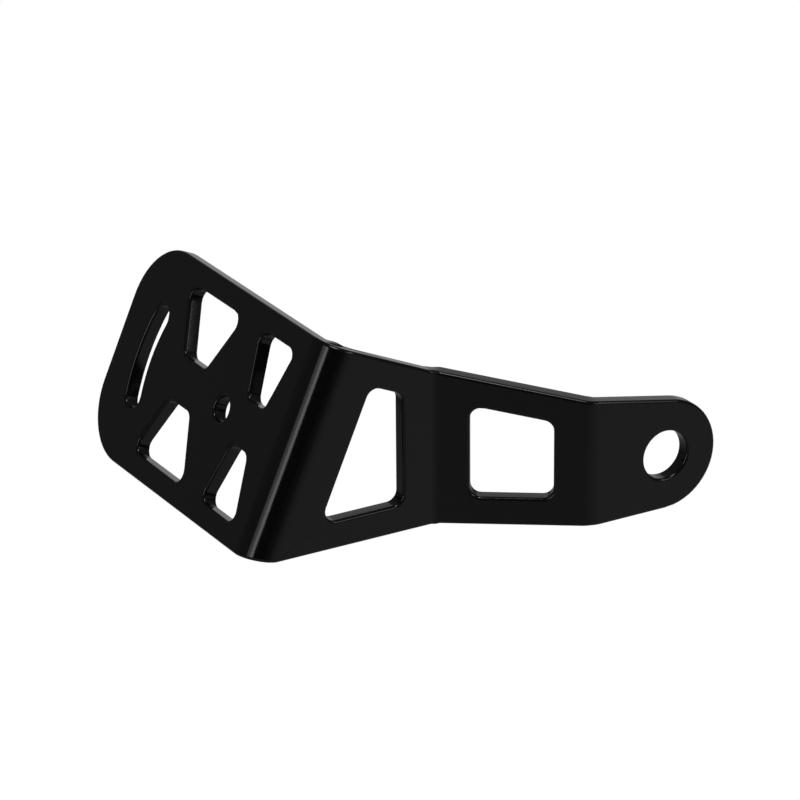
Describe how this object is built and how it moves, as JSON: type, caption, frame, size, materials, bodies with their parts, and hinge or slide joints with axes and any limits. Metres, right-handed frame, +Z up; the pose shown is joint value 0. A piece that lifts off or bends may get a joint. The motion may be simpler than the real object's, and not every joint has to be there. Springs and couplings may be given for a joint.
{
  "type": "side plate bracket",
  "caption": "Folded steel plate bracket: a round-ended tongue with a bolt hole, a stepped arm, and a panel with a pivot hole and a curved slot for tilt.",
  "frame": {"origin": "centre of the tongue's hole, on the tongue's outer face", "axes": "+X from the panel towards the tongue's round end, +Y through the plate along the tongue hole's axis and towards the panel's free end, +Z up along the step's folds"},
  "size_m": [0.1542, 0.1427, 0.0688],
  "materials": {
    "coated_steel": "smooth gloss black powder coat over steel, all faces and edges"
  },
  "bodies": {
    "root": {"bracket": "coated_steel"}
  },
  "joints": []
}
